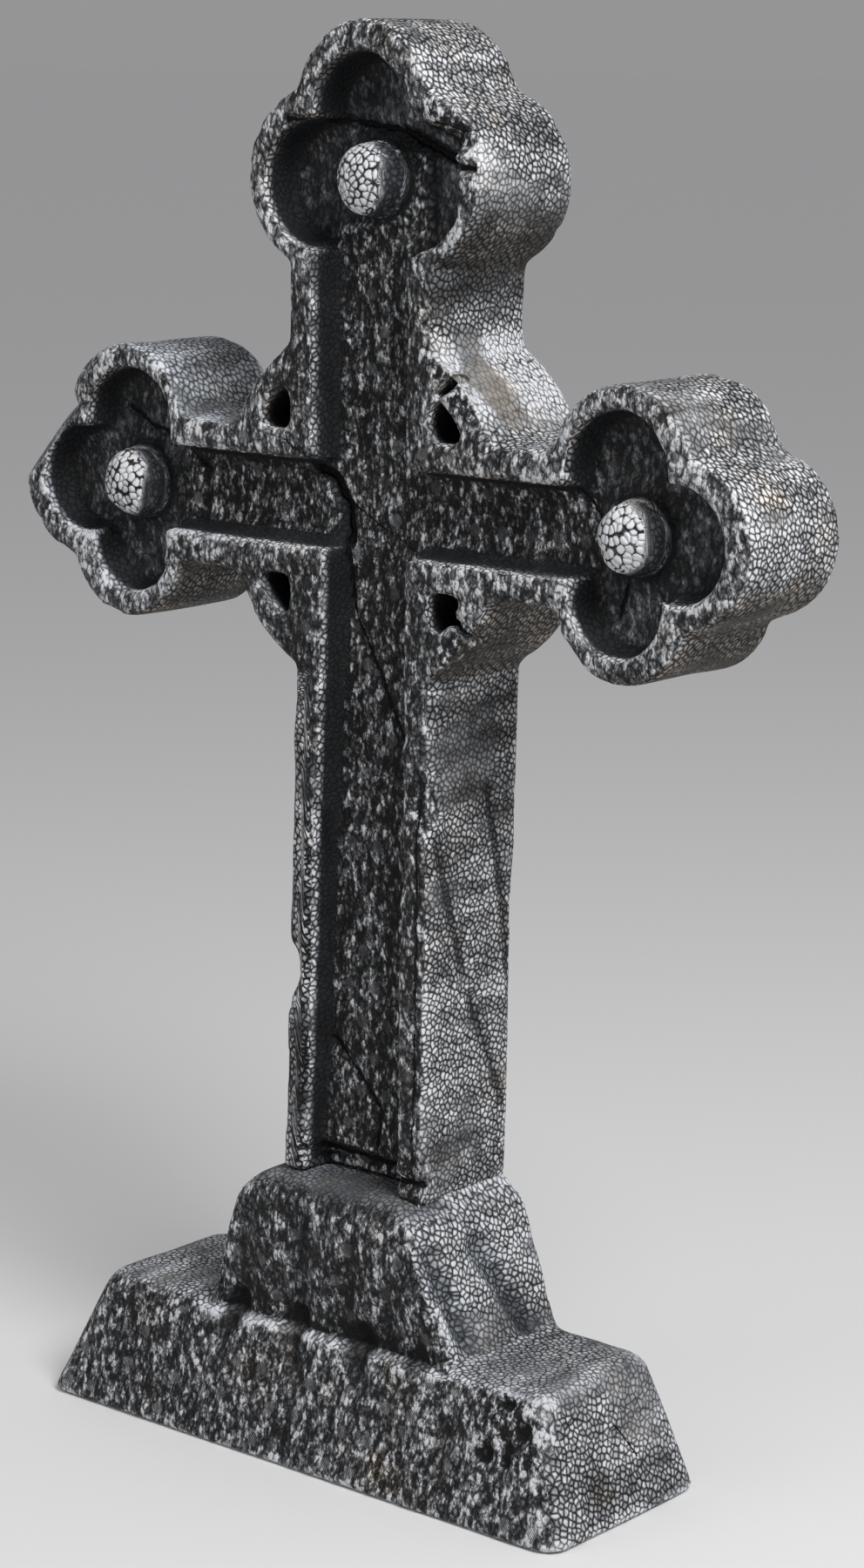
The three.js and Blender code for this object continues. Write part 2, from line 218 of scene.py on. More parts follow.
# Beads: Voronoi cells on the face they lie on, front, side or top, on a slightly wavy place. Dome
# is each bead's rounded height, Seam the dark line round it, Hole the gap where three beads meet
# and Tone a number of its own. Where Drawn is over one half they are longer upwards.
tree, given, result = open_group(
    "bead_skin",
    [("Place", "Vector"), ("Facing", "Vector"), ("Bead size", "Float"), ("Drawn", "Float")],
    ["Dome", "Seam", "Hole", "Tone"],
)
bead_skin = tree
waver = {"Vector": given["Place"], "Scale": WAVER_SCALE, "Detail": 1.0}
waver = wire(tree, "TexNoise", waver).outputs["Color"]
waver = wire(tree, "VectorMath", {0: waver, 1: (0.5, 0.5, 0.5)}, operation="SUBTRACT").outputs[0]
waver = wire(tree, "VectorMath", {0: waver, "Scale": BEAD_WAVER}, operation="SCALE").outputs[0]
waved = wire(tree, "VectorMath", {0: given["Place"], 1: waver}, operation="ADD").outputs[0]
lean = parted(tree, given["Facing"])
lean_x, lean_y, lean_z = (calc(tree, "ABSOLUTE", lean[key]) for key in "XYZ")
aside = calc(tree, "GREATER_THAN", calc(tree, "MAXIMUM", lean_x, lean_z), lean_y)
sideways = times(tree, calc(tree, "GREATER_THAN", lean_x, lean_z), aside)
level = calc(tree, "SUBTRACT", aside, sideways)
axes = parted(tree, waved)
face_u = blend(tree, sideways, axes["X"], axes["Y"])
face_v = blend(tree, level, axes["Z"], axes["Y"])
mostly_drawn = calc(tree, "GREATER_THAN", given["Drawn"], 0.5)
face_v = times(tree, face_v, less(tree, mostly_drawn, MELT_STRETCH))
on_face = wire(tree, "CombineXYZ", {0: face_u, 1: face_v}).outputs[0]
turned = {"Vector": on_face, "Angle": BEAD_TURN}
on_face = wire(tree, "VectorRotate", turned, rotation_type="Z_AXIS").outputs[0]
cells = {
    "Vector": on_face,
    "Scale": calc(tree, "DIVIDE", 1.0, given["Bead size"]),
    "Randomness": BEAD_UNEVENNESS,
}
to_rim = wire(tree, "TexVoronoi", cells, voronoi_dimensions="2D", feature="DISTANCE_TO_EDGE")
rim_distance = to_rim.outputs["Distance"]
own_cell = wire(tree, "TexVoronoi", cells, voronoi_dimensions="2D", feature="F1").outputs
fall = less(tree, calc(tree, "MINIMUM", times(tree, rim_distance, 2.8), 1.0))
tree.links.new(less(tree, times(tree, fall, fall)), result["Dome"])
tree.links.new(fade(tree, rim_distance, 0.015, 0.15, 1.0, 0.0), result["Seam"])
tree.links.new(fade(tree, own_cell["Distance"], 0.44, 0.66), result["Hole"])
own_tone = wire(tree, "SeparateColor", {"Color": own_cell["Color"]}).outputs[0]
tree.links.new(own_tone, result["Tone"])

# Melted front: flecks drawn out upwards with crumbs at their edges. Fleck goes from the dark
# between them to their tops.
tree, given, result = open_group("melted_front", [("Place", "Vector")], ["Fleck"])
melted_front = tree
drawn = stretched(tree, given["Place"], 1.0, 1.0, FLECK_STRETCH)
crumb = cloud(tree, drawn, FLECK_SCALE, 4.0, 0.70)
tree.links.new(fade(tree, crumb, 0.30, 0.72), result["Fleck"])

# Vents: the mould leaves small round marks about 9 mm across with a fine grille in them, in rows
# over the front. Grille is its bars from 0 to 1, Inside the whole disc.
VENT_ACROSS = 0.0215
VENT_UP = 0.0235
VENT_RADIUS = 0.0044
VENT_EDGE = 0.0005
VENT_BAR = 0.0019
# The share of places in the rows that carry no mark
VENT_MISSING = 0.55
tree, given, result = open_group("vent_marks", [("Place", "Vector")], ["Grille", "Inside"])
vent_marks = tree
axes = parted(tree, given["Place"])
row = calc(tree, "DIVIDE", axes["Z"], VENT_UP)
row_number = calc(tree, "FLOOR", row)
shift = times(tree, calc(tree, "PINGPONG", row_number, 1.0), 0.5)
column = calc(tree, "ADD", calc(tree, "DIVIDE", axes["X"], VENT_ACROSS), shift)
across = times(tree, calc(tree, "SUBTRACT", calc(tree, "FRACT", column), 0.5), VENT_ACROSS)
upward = times(tree, calc(tree, "SUBTRACT", calc(tree, "FRACT", row), 0.5), VENT_UP)
spread = wire(tree, "CombineXYZ", {0: across, 1: upward}).outputs[0]
spread = wire(tree, "VectorMath", {0: spread}, operation="LENGTH").outputs["Value"]
spot = wire(tree, "CombineXYZ", {0: calc(tree, "FLOOR", column), 1: row_number}).outputs[0]
luck = wire(tree, "TexWhiteNoise", {"Vector": spot}, noise_dimensions="3D").outputs["Value"]
disc_share = fade(tree, spread, VENT_RADIUS - VENT_EDGE, VENT_RADIUS, 1.0, 0.0)
inside = times(tree, disc_share, calc(tree, "GREATER_THAN", luck, VENT_MISSING))
bars = times(tree, calc(tree, "ADD", across, upward), 2 * math.pi / VENT_BAR)
tree.links.new(fade(tree, calc(tree, "SINE", bars), -0.5, 0.5), result["Grille"])
tree.links.new(inside, result["Inside"])

# Cracks: a piece carries the signed distance from its nearest crack, how much of it is there and
# its width. Gap is the crack's opening, a line which wanders and swells a little and is painted
# black as the shade inside it.
CRACK_WANDER = 0.0042
tree, given, result = open_group(
    "crack_line", [("Side", "Vector"), ("Place", "Vector"), ("Half width", "Float")], ["Gap"]
)
crack_line = tree
parts_of_side = parted(tree, given["Side"])
wander = swing(tree, cloud(tree, given["Place"], 190.0, 3.0, 0.6), CRACK_WANDER)
off = calc(tree, "ABSOLUTE", calc(tree, "ADD", parts_of_side["X"], wander))
swell = fade(tree, cloud(tree, given["Place"], 70.0), 0.35, 0.65, 0.6, 1.3)
width_now = times(tree, times(tree, given["Half width"], parts_of_side["Z"]), swell)
gap = less(tree, calc(tree, "MINIMUM", calc(tree, "DIVIDE", off, width_now), 1.0))
tree.links.new(times(tree, fade(tree, gap, 0.0, 0.45), parts_of_side["Y"]), result["Gap"])

# The paint over it. Scales are per metre. The heights, the dark numbers and the shares that beads,
# flecks and tooth give are parts of the way from bare charcoal to thick pale paint.
CHARCOAL = (0.023, 0.0232, 0.0238)
CLEAN_CAST = (0.985, 1.0, 1.02, 1)
# Brown cast of dirt, also laid on the undersides as painted warm bounce light
DIRT_AND_BOUNCE_CAST = (1.16, 1.02, 0.86, 1)
SMOOTH_CAST = (0.90, 0.98, 1.06, 1)
# Painted shade inside the cracks
CRACK_SHADE_COLOUR = (0.003, 0.003, 0.0032, 1)
DARK_ROUGHNESS = 0.62
PALE_ROUGHNESS = 0.92
SHEEN = 0.16
TOOTH_SCALE = 520.0
PATCH_SCALE, PATCH_HEIGHT = 19.0, 0.46
SPOT_SCALE, SPOT_HEIGHT = 85.0, 0.26
BAND_SCALES, BAND_HEIGHT = (80.0, 12.0, 80.0), 0.55
THICK_SCALES = (26.0, 13.0, 26.0)
DIRT_SCALE = 28.0
SEAM_DARK = 0.15
HOLE_DARK = 0.16
CAP_HOLE_DARK = 0.62
THICK_DARK = 0.07
BEAD_SHARES = {"top": 0.62, "tone": 0.46, "tooth": 0.9}
FLECK_SHARES = {"fleck": 0.72, "tone": 0.24, "dome": 0.16, "tooth": 0.5}
FLECK_BITE = 1.35
VENT_SHARE = 0.75
VENT_GRILLE = 0.45
CRACK_HALF_WIDTHS = {"crack_a": 0.0011, "crack_b": 0.0006}
RELIEF = 0.0013


def painted_foam(name, grey, pale):
    """Charcoal paint on beads, pale dry brushing on their tops, brown dirt and painted warm bounce
    light, vents, and cracks painted black inside as shade.
    """
    made = bpy.data.materials.new(name)
    made.use_nodes = True
    tree = made.node_tree
    shader = tree.nodes["Principled BSDF"]
    shader.inputs["Specular IOR Level"].default_value = SHEEN
    place = wire(tree, "TexCoord").outputs["Object"]

    def kept(key):
        """What a piece stores for each point under a name."""
        found = wire(tree, "Attribute", attribute_name=key, attribute_type="GEOMETRY")
        return found.outputs["Vector"]

    paint = parted(tree, kept("paint"))
    load, contrast, warmth = paint["X"], paint["Y"], paint["Z"]
    skin = parted(tree, kept("skin"))
    melt, smooth, knob = skin["X"], skin["Y"], skin["Z"]
    facing = kept("facing")
    frontal = fade(tree, calc(tree, "ABSOLUTE", parted(tree, facing)["Y"]), 0.82, 0.94)

    # Beads on the sides, flecks on the front. The brush reaches the top of a bead, and on a boss
    # nearly all of it.
    bead_size = blend(tree, knob, BEAD_SIZE, CAP_BEAD_SIZE)
    fed = {"Place": place, "Facing": facing, "Bead size": bead_size, "Drawn": melt}
    beads = wire(tree, "Group", fed, node_tree=bead_skin).outputs
    dome, seam, hole, tone = (beads[key] for key in ("Dome", "Seam", "Hole", "Tone"))
    fleck = wire(tree, "Group", {"Place": place}, node_tree=melted_front).outputs["Fleck"]
    tooth = cloud(tree, place, TOOTH_SCALE, 2.0, 0.6)
    top = blend(tree, knob, calc(tree, "POWER", dome, 3.0), times(tree, dome, 0.65))
    grained = plus(tree, tone, BEAD_SHARES["tone"], swing(tree, tooth, BEAD_SHARES["tooth"]))
    grained = plus(tree, top, BEAD_SHARES["top"], grained)
    beaded = plus(tree, tone, FLECK_SHARES["tone"], times(tree, dome, FLECK_SHARES["dome"]))
    beaded = calc(tree, "ADD", beaded, swing(tree, tooth, FLECK_SHARES["tooth"]))
    flecked = plus(tree, fleck, FLECK_SHARES["fleck"], beaded)
    flecked = calc(tree, "POWER", calc(tree, "MAXIMUM", flecked, 0.0), FLECK_BITE)
    texture = blend(tree, melt, grained, flecked)

    # How pale the paint is: patches, spots and brush bands on what the brush left
    rough_skin = less(tree, smooth, 0.8)
    patch = swing(tree, cloud(tree, place, PATCH_SCALE, 3.0, 0.6), PATCH_HEIGHT)
    spots = swing(tree, cloud(tree, place, SPOT_SCALE, 2.0, 0.6), SPOT_HEIGHT)
    bands = cloud(tree, stretched(tree, place, *BAND_SCALES), 1.0, 2.0, 0.55)
    bands = swing(tree, bands, BAND_HEIGHT)
    uneven = calc(tree, "ADD", patch, spots)
    uneven = calc(tree, "ADD", uneven, times(tree, bands, less(tree, melt, 0.8)))
    value = plus(tree, uneven, rough_skin, load)

    # Thick paint hides part of the beads in long patches on the sides
    thick = cloud(tree, stretched(tree, place, *THICK_SCALES), 1.0, 3.0, 0.6)
    thick = fade(tree, thick, 0.50, 0.62)
    thick = times(tree, times(tree, thick, less(tree, melt)), less(tree, knob))
    value = plus(tree, thick, -THICK_DARK, value)
    thin = less(tree, thick, 0.6)
    textured = times(tree, calc(tree, "SUBTRACT", texture, 0.5), thin)
    value = plus(tree, textured, contrast, value)

    # Dark seams and holes between the beads
    lines = times(tree, times(tree, seam, less(tree, knob, 0.4)), SEAM_DARK)
    lines = plus(tree, hole, blend(tree, knob, HOLE_DARK, CAP_HOLE_DARK), lines)
    lines = times(tree, times(tree, lines, less(tree, melt, 0.6)), rough_skin)
    value = calc(tree, "SUBTRACT", value, times(tree, lines, thin))

    # Vent marks, only where the front faces forward
    vents = wire(tree, "Group", {"Place": place}, node_tree=vent_marks).outputs
    vent = times(tree, times(tree, vents["Inside"], melt), less(tree, smooth))
    vent = times(tree, times(tree, vent, frontal), VENT_SHARE)
    in_vent = calc(tree, "ADD", swing(tree, vents["Grille"], VENT_GRILLE), load)
    value = blend(tree, vent, value, in_vent)

    # Its colour, from bare charcoal to thick pale paint
    ramp = wire(tree, "ValToRGB", {"Fac": value})
    stops = [
        (0.0, tuple(c * 0.34 for c in CHARCOAL)),
        (0.30, CHARCOAL),
        (0.56, grey),
        (0.78, tuple(c * 0.46 for c in pale)),
        (1.0, pale),
    ]
    stop_list = ramp.color_ramp.elements
    while len(stop_list) < len(stops):
        stop_list.new(0.5)
    for stop, (where, shade) in zip(stop_list, stops):
        stop.position = where
        stop.color = shade + (1,)
    # Brown dirt, and painted warm bounce light from below
    dirt_and_bounce = calc(tree, "ADD", warmth, swing(tree, cloud(tree, place, DIRT_SCALE, 3.0, 0.6), 2.0))
    cast = tint(tree, fade(tree, dirt_and_bounce, 0.0, 1.0), CLEAN_CAST, DIRT_AND_BOUNCE_CAST)
    colour = tint(tree, 1.0, ramp.outputs["Color"], cast, "MULTIPLY")
    bluish = times(tree, smooth, less(tree, warmth))
    colour = tint(tree, bluish, colour, SMOOTH_CAST, "MULTIPLY")
    gaps = []
    for key, half in CRACK_HALF_WIDTHS.items():
        fed = {"Side": kept(key), "Place": place, "Half width": half}
        gaps.append(wire(tree, "Group", fed, node_tree=crack_line).outputs["Gap"])
    gap_now = calc(tree, "MAXIMUM", *gaps)
    # The cracks are painted black as the shade inside them
    colour = tint(tree, gap_now, colour, CRACK_SHADE_COLOUR)
    tree.links.new(colour, shader.inputs["Base Color"])
    roughness = fade(tree, value, 0.25, 0.8, DARK_ROUGHNESS, PALE_ROUGHNESS)
    tree.links.new(roughness, shader.inputs["Roughness"])

    # Relief: beads, melted flecks and fine tooth
    height = times(tree, dome, less(tree, melt, 0.5))
    height = plus(tree, times(tree, fleck, melt), 1.25, height)
    height = times(tree, height, less(tree, smooth, 0.85))
    height = plus(tree, tooth, 0.4, height)
    height = plus(tree, gap_now, -3.0, height)
    bump = wire(tree, "Bump", {"Height": height, "Strength": 0.9, "Distance": RELIEF})
    tree.links.new(bump.outputs["Normal"], shader.inputs["Normal"])
    return made


# The cross: one moulded foam body about 770 mm tall. Its solid is copied, skinned afresh with
# small faces, softened in its creases and worn on its edges, then cracked and chipped.
CROSS_VOXEL = 0.0028
ARM_Z = 631.0
HEAD_Z = 835.7
ARM_X = 205.5
FRONT_Y = -36.0
PLINTH_TOP = 188.0
# The shaft's middle leans to the right on the way up, and it narrows by twice the taper
SHAFT_FOOT_X = -5.2
SHAFT_LEAN = 10.5
SHAFT_FOOT_HALF = 60.0
SHAFT_TAPER = 5.75
# The sunk field: how far it lies inside the shaft's edges, half its width in the head and in the
# arms, and its lobes, each by its way outwards and aside from the boss and its radius
RIM_WIDTH = 20.5
HEAD_FIELD_HALF = 38.5
ARM_FIELD_HALF = 27.5
HEAD_LOBES = [(39.9, 0, 37.4), (-4, 38.7, 40), (-4, -38.7, 40)]
ARM_LOBES = [(39.9, 0, 35.5), (-4, 38.7, 37.5), (-4, -38.7, 34)]


def foam_copy(name, node, voxel):
    """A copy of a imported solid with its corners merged, skinned afresh with small square faces."""
    piece = bpy.data.objects.new(name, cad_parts[node].data.copy())
    scene.collection.objects.link(piece)
    welded = bmesh.new()
    welded.from_mesh(piece.data)
    bmesh.ops.remove_doubles(welded, verts=welded.verts, dist=1e-5)
    welded.to_mesh(piece.data)
    welded.free()
    skin = piece.modifiers.new("skin", "REMESH")
    skin.mode = "VOXEL"
    skin.voxel_size = voxel
    skinned = piece.evaluated_get(bpy.context.evaluated_depsgraph_get())
    fine = bpy.data.meshes.new_from_object(skinned)
    piece.modifiers.clear()
    piece.data = fine
    fine.materials.clear()
    fine.polygons.foreach_set("use_smooth", np.ones(len(fine.polygons), bool))
    return piece


def read_mesh(piece):
    """Points in mm, the two ends of each edge and the four corners of each face."""
    data = piece.data
    points = np.empty(len(data.vertices) * 3, np.float32)
    data.vertices.foreach_get("co", points)
    edges = np.empty(len(data.edges) * 2, np.int32)
    data.edges.foreach_get("vertices", edges)
    faces = np.empty(len(data.loops), np.int32)
    data.loops.foreach_get("vertex_index", faces)
    return points.reshape(-1, 3).astype(float) * 1000, edges.reshape(-1, 2), faces.reshape(-1, 4)


def neighbour_mean(values, edges):
    """Each point's mean over the points that share an edge with it."""
    first, second = edges.T
    count = len(values)
    degree = np.bincount(first, minlength=count) + np.bincount(second, minlength=count)
    columns = values.reshape(count, -1)
    total = [
        np.bincount(first, column[second], count) + np.bincount(second, column[first], count)
        for column in columns.T
    ]
    return (np.stack(total, 1) / degree[:, None]).reshape(values.shape)


def spread_out(values, edges, rounds):
    """Each point's value swapped for its neighbours' mean, that many times."""
    for _ in range(rounds):
        values = neighbour_mean(values, edges)
    return values


def outward(points, faces):
    """Unit normals: the cross product of each face's diagonals, summed at its four corners."""
    a, b, c, d = (points[faces[:, k]] for k in range(4))
    leans, count = np.cross(c - a, d - b).T, len(points)
    total = [sum(np.bincount(faces[:, k], lean, count) for k in range(4)) for lean in leans]
    total = np.stack(total, 1)
    return total / np.maximum(np.linalg.norm(total, axis=1, keepdims=True), 1e-12)


def soften(points, edges, faces, rounds, fill, wear):
    """Moves each point along its normal towards its neighbours' mean: fill is how much of the move
    a crease takes, wear how much a ridge takes."""
    for _ in range(rounds):
        normal = outward(points, faces)
        rise = ((neighbour_mean(points, edges) - points) * normal).sum(1)
        move = np.maximum(rise, 0) * fill + np.minimum(rise, 0) * wear
        points = points + normal * move[:, None]
    return points


def step_between(value, low, high):
    """0 below low, 1 above high and 3t2 - 2t3 between."""
    t = np.clip((value - low) / (high - low), 0, 1)
    return t * t * (3 - 2 * t)


def bell(value, width):
    """1 at 0 and falling off to both sides as exp(-(value / width)^2)."""
    return np.exp(-((value / width) ** 2))


def drift(points, size, seed):
    """Smooth random field from -1 to 1: random numbers on a lattice of that size in mm, blended
    along each axis with 3t2 - 2t3."""
    lattice = np.random.default_rng(seed).uniform(-1, 1, (32, 32, 32))
    cell = points / np.asarray(size, float)
    base = np.floor(cell).astype(int)
    t = cell - base
    t = t * t * (3 - 2 * t)
    total = np.zeros(len(points))
    for corner in np.ndindex(2, 2, 2):
        weight = np.prod(np.where(corner, t, 1 - t), axis=1)
        total += weight * lattice[tuple(((base + corner) % 32).T)]
    return total


def beside_line(first, second, line):
    """Signed distance in mm from a broken line, by the nearest of its pieces, and how far past the
    line's ends a place is."""
    best = np.full(len(first), 1e9)
    signed = np.zeros(len(first))
    past = np.zeros(len(first))
    for (x0, z0), (x1, z1) in zip(line, line[1:]):
        length = math.hypot(x1 - x0, z1 - z0)
        ux, uz = (x1 - x0) / length, (z1 - z0) / length
        along = (first - x0) * ux + (second - z0) * uz
        side = (second - z0) * ux - (first - x0) * uz
        beyond = np.maximum(-along, along - length)
        distance = np.hypot(side, np.maximum(beyond, 0))
        nearer = distance < best
        best = np.where(nearer, distance, best)
        signed = np.where(nearer, np.where(side < 0, -distance, distance), signed)
        past = np.where(nearer, np.maximum(beyond, 0), past)
    return signed, past


def ridge_line(first, second, line, width):
    """1 on a broken line, falling off beside it as exp(-(distance / width)^2)."""
    return bell(beside_line(first, second, line)[0], width)


def deepest(first, second, grooves):
    """Depth in mm of the deepest of some grooves, each by its line, its width and its depth."""
    return np.maximum.reduce([
        ridge_line(first, second, line, width) * deep for line, width, deep in grooves
    ])


def near(points, middle, radius):
    """1 within half the radius of a place, 0 outside the radius."""
    away = np.linalg.norm(points - np.asarray(middle, float), axis=1)
    return step_between(away, radius, radius * 0.5)


def near_any(points, spots):
    """The greatest of what near gives for some places and their radii."""
    return np.maximum.reduce([near(points, spot, radius) for spot, radius in spots])


def crack_values(first, second, facing, cracks):
    """For each point its signed distance in m from the nearest of the cracks, how much of that
    crack is there, and its width factor. A crack is its width factor and its line."""
    nearest = np.full(len(first), 1e9)
    values = np.zeros((len(first), 3))
    values[:, 2] = 1
    for width, line in cracks:
        signed, past = beside_line(first, second, line)
        nearer = (np.abs(signed) < nearest)[:, None]
        there = (1 - step_between(past, 0, 3)) * facing * step_between(np.abs(signed), 9, 6)
        row = np.stack([signed / 1000, there, np.full(len(first), width)], 1)
        values = np.where(nearer, row, values)
        nearest = np.minimum(nearest, np.abs(signed))
    return values


def ridges_and_hollows(points, edges, faces):
    """How much each point is on a sharp ridge, and how much in a broad hollow, from 0 to 1."""
    normal = outward(points, faces)
    convex = neighbour_mean(-((neighbour_mean(points, edges) - points) * normal).sum(1), edges)
    lift = ((spread_out(points, edges, 14) - points) * normal).sum(1)
    ridge = np.clip((convex - 0.05) / 0.20, 0, 1) * 0.8 + np.clip((-lift - 0.8) / 2.0, 0, 1) * 0.2
    return spread_out(ridge, edges, 2), np.clip(lift / 2.5, 0, 1)


def keep(piece, name, columns):
    """Stores three numbers for each point of a piece."""
    values = np.stack(columns, 1) if isinstance(columns, (list, tuple)) else columns
    layer = piece.data.attributes.new(name, "FLOAT_VECTOR", "POINT")
    layer.data.foreach_set("vector", values.astype(np.float32).ravel())


def put_back(piece, points, node):
    """Writes the points to a piece, kept inside its solid's box."""
    low, high = (np.array(corner) * 1000 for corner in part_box(node))
    inside = np.clip(points, low + 0.05, high - 0.05)
    inside[:, 2] = np.where(points[:, 2] < low[2] + 0.4, points[:, 2], inside[:, 2])
    piece.data.vertices.foreach_set("co", (inside / 1000).astype(np.float32).ravel())
    piece.data.update()


def disc(x, z, middle_x, middle_z, radius):
    """Distance in mm outside a circle, negative inside it."""
    return np.hypot(x - middle_x, z - middle_z) - radius


def bar(x, z, left, right, low, high):
    """Distance in mm outside the nearest side of a rectangle, negative inside it."""
    return np.maximum(np.maximum(left - x, x - right), np.maximum(low - z, z - high))


def shaft_edges(z):
    """The shaft's left and right edge in the front view at a height."""
    share = (z - PLINTH_TOP) / (ARM_Z - PLINTH_TOP)
    middle, half = SHAFT_FOOT_X + SHAFT_LEAN * share, SHAFT_FOOT_HALF - SHAFT_TAPER * share
    return middle - half, middle + half


def field_distance(x, z):
    """Distance in mm outside the sunk field's outline in the front view, negative inside it."""
    left, right = shaft_edges(z)
    shapes = [
        np.maximum(np.maximum(left + RIM_WIDTH - x, x - right + RIM_WIDTH), z - ARM_Z),
        bar(x, z, -HEAD_FIELD_HALF, HEAD_FIELD_HALF, ARM_Z - ARM_FIELD_HALF, HEAD_Z),
        bar(x, z, -ARM_X, ARM_X, ARM_Z - ARM_FIELD_HALF, ARM_Z + ARM_FIELD_HALF),
    ]
    for out, aside, radius in HEAD_LOBES:
        shapes.append(disc(x, z, aside, HEAD_Z + out, radius))
    for out, aside, radius in ARM_LOBES:
        shapes += [disc(x, z, side * (ARM_X + out), ARM_Z + aside, radius) for side in (-1, 1)]
    return np.minimum.reduce(shapes)


# Cracks in the front view, in mm, each with its width. The second set holds those that branch off
# one of the first or run close to it.
CRACKS_A = [
    (3.2, [(-54, 651), (-41, 645), (-31, 628), (-27, 606)]),
    (1.25, [(-27, 603), (-26, 596), (-21, 559), (4, 515)]),
    (0.8, [(4, 515), (27, 471)]),
    (1.5, [(-60, 871), (-31, 870), (12, 865)]),
    (2.2, [(12, 865), (54, 848), (90, 844)]),
    (1.3, [(-33, 279), (-4, 248), (6, 237), (3, 212)]),
    (1.0, [(-223, 679), (-205, 668), (-178, 662), (-150, 642)]),
    (1.0, [(160, 657), (167, 646), (172, 640)]),
    (0.9, [(194, 602), (190, 590), (187, 578)]),
    (2.2, [(-46, 205), (-30, 203), (10, 201), (60, 199)]),
]
CRACKS_B = [
    (1.0, [(-27, 631), (-2, 618), (26, 605)]),
    (0.9, [(212, 603), (218, 597), (224, 590)]),
    (1.2, [(-62, 671), (-34, 656)]),
    (1.3, [(60, 871), (78, 866), (98, 868)]),
    (1.3, [(50.5, 470), (50, 350), (47, 205)]),
]
# Dark streaks down the shaft's right side, by depth and height
SIDE_STREAKS = [
    [(-25, 428), (-12, 384), (5, 334)],
    [(26, 452), (44, 376), (57, 300)],
    [(13, 317), (30, 280), (47, 238)],
]
# Thick pale crust, by place and radius
CRUSTS = [
    ((240, -34, 668), 34), ((262, -34, 640), 34), ((268, -34, 600), 30), ((205, -34, 578), 22),
    ((170, -34, 590), 24), ((95, -34, 590), 24), ((62, -34, 588), 18), ((-250, -34, 585), 26),
    ((-130, -34, 668), 26), ((66, -30, 890), 26), ((92, -30, 850), 22), ((-60, -34, 790), 22),
]
# Foam broken away in crumbs, by place and radius
BROKEN_SPOTS = [
    ((66, -36, 862), 30), ((76, -36, 708), 26), ((82, -34, 556), 24), ((-268, -34, 672), 22),
    ((-64, -34, 325), 18), ((58, -36, 448), 20), ((52, -36, 204), 20),
]
# Depths of the wear in mm: waves and ripples all over, runs down the front, chips along edges,
# dents in the rims, crumbs and lumps in the breaks, and streaks on the side
CROSS_WEAR = {
    "wave": 1.0, "ripple": 0.7, "run": 0.9, "chip": 2.4, "dent": 1.3, "crumb": 1.3, "lump": 1.2,
    "streak": 0.9,
}
# How deep the ditch along a crack of width 1 is, for the two sets
DITCH_DEPTHS = (2.6, 1.3)
# What faces forward, by the share of its normal: from not at all to wholly
FORWARD = (0.45, 0.85)
# The ring is cracked through at these angles in degrees
RING_CRACK_ANGLES = (49, -39)
CREASE_ROUNDS = 70
WEAR_ROUNDS = 6
# A pocket's middle, by its distance from the arms' crossing, and how far its mouth is pushed in mm
POCKET_X = 68.0
POCKET_Z = 58.0
POCKET_PUSH = 2.8
# How much deeper the trefoil's floor lies at the head
HEAD_SUNK_MORE = 4.0
# How pale the paint is on each part, and how much of the beads shows in it
PALENESS = {
    "rim": 0.45, "side": 0.69, "field": 0.42, "wall": 0.13, "boss": 0.96, "boss side": 0.26,
}
BEADS_SHOW = {
    "rim": 1.12, "side": 0.49, "field": 1.28, "wall": 0.16, "boss": 0.55, "boss side": 0.25,
}
CROSS_GREY = (0.098, 0.0985, 0.1005)
CROSS_PALE = (0.64, 0.643, 0.652)

cross = foam_copy("carved_cross", "cross", CROSS_VOXEL)
points, edges, faces = read_mesh(cross)
x, y, z = points.T
depth = y - FRONT_Y
field = field_distance(x, z)
ring_radius = np.hypot(x, z - ARM_Z)

# Creases between the lobes, necks and ring run over in wide soft hollows on the outer sides. The
# ring's cracks, the pockets and the foot stay as cut. The pockets' mouths are pushed wider.
outer = step_between(field, 6, 14)
between_arms = step_between(np.abs(x), 48, 56) * step_between(np.abs(z - ARM_Z), 40, 46)
pocket = step_between(ring_radius, 112, 98) * between_arms
ring_angle = np.degrees(np.arctan2(z - ARM_Z, x))
ring_crack = np.minimum.reduce([np.abs(ring_angle - angle) for angle in RING_CRACK_ANGLES]) < 7
ring_crack = ring_crack & (ring_radius > 86) & (ring_radius < 124) & (depth < 38)
fill = outer * (1 - pocket) * ~ring_crack * 0.9 + (1 - outer) * 0.22
fill *= step_between(z, PLINTH_TOP + 6, PLINTH_TOP + 24) * (1 - pocket)
points = soften(points, edges, faces, CREASE_ROUNDS, fill, 0.0)
out_x = np.abs(points[:, 0]) - POCKET_X
out_z = (np.abs(points[:, 2] - ARM_Z) - POCKET_Z) * 1.25
away = np.hypot(out_x, out_z)
push = POCKET_PUSH * step_between(away, 30, 13) * step_between(ring_radius, 110, 102)
push /= np.maximum(away, 4)
points[:, 0] += np.sign(points[:, 0]) * out_x * push
points[:, 2] += np.sign(points[:, 2] - ARM_Z) * out_z * push
wear = (0.10 + 0.42 * (0.5 + 0.5 * drift(points, 34, seed=3))) * (1 - 0.75 * pocket)
points = soften(points, edges, faces, WEAR_ROUNDS, 0.08 * (1 - pocket), wear)

